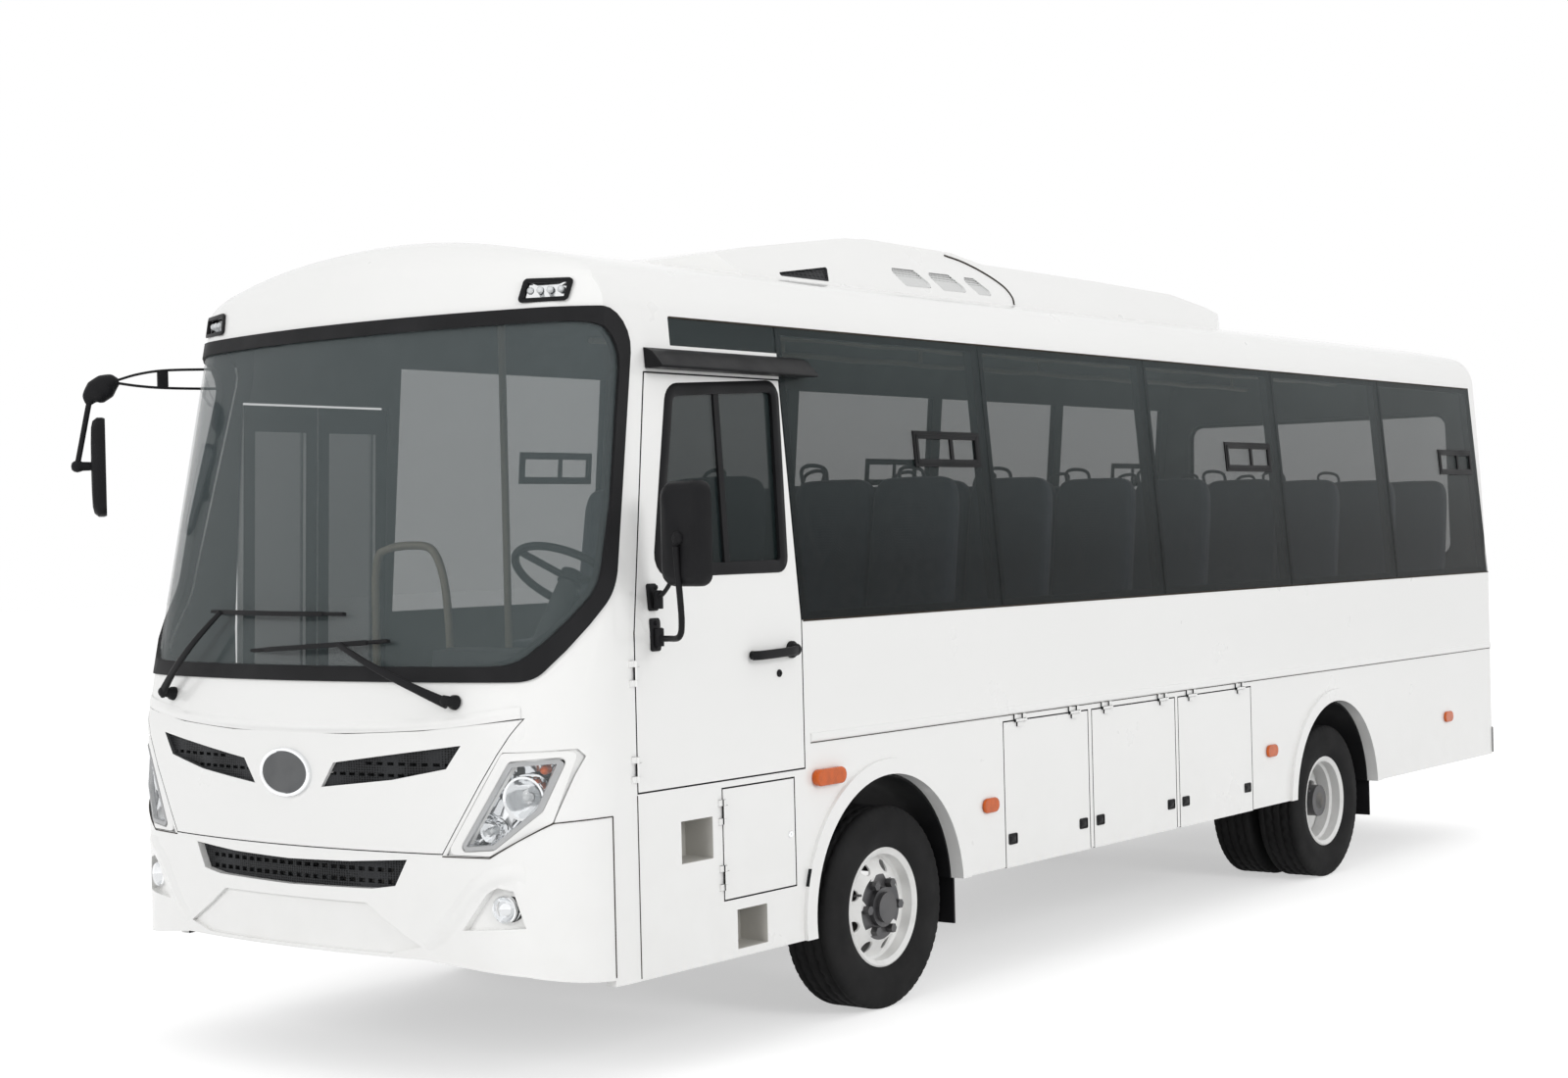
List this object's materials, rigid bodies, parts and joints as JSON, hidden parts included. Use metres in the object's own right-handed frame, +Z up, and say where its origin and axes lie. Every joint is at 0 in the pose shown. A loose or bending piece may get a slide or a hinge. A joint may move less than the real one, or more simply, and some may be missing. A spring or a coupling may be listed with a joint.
{
  "type": "passenger bus",
  "caption": "Midi passenger bus with raked windscreen, bonded side windows, roof air conditioner, hinged driver door, folding entry door, luggage flaps and steered, sprung running gear.",
  "frame": {"origin": "on the ground under the middle of the whole bus", "axes": "+X towards the nose, +Y to the bus's left, +Z up"},
  "size_m": [8.632, 2.8837, 3.156],
  "materials": {
    "white_paint": "gloss white",
    "frame_steel": "satin black chassis paint",
    "floor_vinyl": "matte grey vinyl",
    "black_rubber": "matte",
    "black_plastic": "grained",
    "tinted_glass": "grey-green tint",
    "clear_lens": "clear lens",
    "amber_lens": "amber lens",
    "red_lens": "red lens",
    "grey_trim": "grained",
    "seat_fabric": "woven",
    "cast_metal": "as cast",
    "exhaust_steel": "dull",
    "wheel_steel": "silver paint",
    "tyre": "matte"
  },
  "bodies": {
    "coach": {"chassis_frame": "frame_steel", "floor": "floor_vinyl", "luggage_bays": "frame_steel", "left_wall": "white_paint", "right_wall": "white_paint", "roof": "white_paint", "front_cap": "white_paint", "nose_panel": "white_paint", "front_bumper": "white_paint", "rear_cap": "white_paint", "windscreen": "tinted_glass", "windscreen_seal": "black_rubber", "window_glass": "tinted_glass", "vent_frames": "black_plastic", "roof_unit": "white_paint", "wipers": "black_plastic", "door_visor": "black_plastic", "headlamps": "clear_lens", "amber_lamps": "amber_lens", "tail_lamps": "red_lens", "grilles": "black_plastic", "corner_mirror": "black_plastic", "wheel_housings": "black_plastic", "dashboard": "grey_trim", "seats": "seat_fabric", "engine": "cast_metal", "driveline": "frame_steel", "front_axle": "frame_steel", "rear_axle": "frame_steel", "springs": "frame_steel", "fuel_tank": "frame_steel", "exhaust": "exhaust_steel"},
    "steered_knuckle_left": {"knuckle_left": "frame_steel"},
    "steered_knuckle_right": {"knuckle_right": "frame_steel"},
    "wheel_front_left": {"tyre_front_left": "tyre", "rim_front_left": "wheel_steel"},
    "wheel_front_right": {"tyre_front_right": "tyre", "rim_front_right": "wheel_steel"},
    "wheels_rear_left": {"tyres_rear_left": "tyre", "rims_rear_left": "wheel_steel"},
    "wheels_rear_right": {"tyres_rear_right": "tyre", "rims_rear_right": "wheel_steel"},
    "drivers_door": {"driver_door": "white_paint", "driver_door_glass": "tinted_glass", "driver_door_fittings": "black_plastic"},
    "entry_front_leaf": {"entry_leaf_front": "white_paint", "entry_glass_front": "tinted_glass"},
    "entry_rear_leaf": {"entry_leaf_rear": "white_paint", "entry_glass_rear": "tinted_glass"},
    "steering": {"steering_wheel": "black_plastic"},
    "boot": {"boot_lid": "white_paint"},
    "battery_cover": {"battery_door": "white_paint"},
    "luggage_left_1": {"flap_left_1": "white_paint"},
    "luggage_left_2": {"flap_left_2": "white_paint"},
    "luggage_left_3": {"flap_left_3": "white_paint"},
    "luggage_right_1": {"flap_right_1": "white_paint"},
    "luggage_right_2": {"flap_right_2": "white_paint"},
    "luggage_right_3": {"flap_right_3": "white_paint"}
  },
  "joints": [
    {"name": "steer_left", "type": "hinge", "parent": "coach", "child": "steered_knuckle_left", "pos_m": [2.19, 0.88, 0.4], "axis": [0, 0, 1], "range_deg": [-35, 35]},
    {"name": "steer_right", "type": "hinge", "parent": "coach", "child": "steered_knuckle_right", "pos_m": [2.19, -0.88, 0.4], "axis": [0, 0, 1], "range_deg": [-35, 35]},
    {"name": "steering_wheel_turn", "type": "hinge", "parent": "coach", "child": "steering", "pos_m": [3.47, 0.62, 1.74], "axis": [-0.5736, 0, 0.8192], "range_deg": [-565, 565]},
    {"name": "front_left_spin", "type": "hinge", "parent": "steered_knuckle_left", "child": "wheel_front_left", "pos_m": [2.19, 0.987, 0.4], "axis": [0, 1, 0], "continuous": true},
    {"name": "front_right_spin", "type": "hinge", "parent": "steered_knuckle_right", "child": "wheel_front_right", "pos_m": [2.19, -0.987, 0.4], "axis": [0, 1, 0], "continuous": true},
    {"name": "rear_left_spin", "type": "hinge", "parent": "coach", "child": "wheels_rear_left", "pos_m": [-1.915, 0.987, 0.4], "axis": [0, 1, 0], "continuous": true},
    {"name": "rear_right_spin", "type": "hinge", "parent": "coach", "child": "wheels_rear_right", "pos_m": [-1.915, -0.987, 0.4], "axis": [0, 1, 0], "continuous": true},
    {"name": "drivers_door_swing", "type": "hinge", "parent": "coach", "child": "drivers_door", "pos_m": [3.743, 1.158, 1.5], "axis": [0, 0, -1], "range_deg": [0, 70]},
    {"name": "entry_front_fold", "type": "hinge", "parent": "coach", "child": "entry_front_leaf", "pos_m": [3.57, -1.05535, 1.39914], "axis": [0, -0.0407, -0.9992], "range_deg": [0, 80]},
    {"name": "entry_rear_fold", "type": "hinge", "parent": "entry_front_leaf", "child": "entry_rear_leaf", "pos_m": [3.195, -1.1133, 1.4015], "axis": [0, 0.0407, 0.9992], "range_deg": [0, 160]},
    {"name": "luggage_left_1_lift", "type": "hinge", "parent": "coach", "child": "luggage_left_1", "pos_m": [1.0285, 1.158, 1.073], "axis": [1, 0, 0], "range_deg": [0, 85]},
    {"name": "luggage_left_2_lift", "type": "hinge", "parent": "coach", "child": "luggage_left_2", "pos_m": [0.2525, 1.158, 1.073], "axis": [1, 0, 0], "range_deg": [0, 85]},
    {"name": "luggage_left_3_lift", "type": "hinge", "parent": "coach", "child": "luggage_left_3", "pos_m": [-0.55, 1.158, 1.073], "axis": [1, 0, 0], "range_deg": [0, 85]},
    {"name": "luggage_right_1_lift", "type": "hinge", "parent": "coach", "child": "luggage_right_1", "pos_m": [1.0285, -1.158, 1.073], "axis": [-1, 0, 0], "range_deg": [0, 85]},
    {"name": "luggage_right_2_lift", "type": "hinge", "parent": "coach", "child": "luggage_right_2", "pos_m": [0.2525, -1.158, 1.073], "axis": [-1, 0, 0], "range_deg": [0, 85]},
    {"name": "luggage_right_3_lift", "type": "hinge", "parent": "coach", "child": "luggage_right_3", "pos_m": [-0.55, -1.158, 1.073], "axis": [-1, 0, 0], "range_deg": [0, 85]},
    {"name": "boot_lift", "type": "hinge", "parent": "coach", "child": "boot", "pos_m": [-4.309, 0, 1.327], "axis": [0, 1, 0], "range_deg": [0, 80]},
    {"name": "battery_cover_swing", "type": "hinge", "parent": "coach", "child": "battery_cover", "pos_m": [3.277, 1.158, 0.778], "axis": [0, 0, -1], "range_deg": [0, 110]}
  ],
  "couplings": [
    {"joint": "steer_right", "follows": "steer_left", "ratio": 1},
    {"joint": "steering_wheel_turn", "follows": "steer_left", "ratio": 16},
    {"joint": "entry_rear_fold", "follows": "entry_front_fold", "ratio": 2}
  ]
}
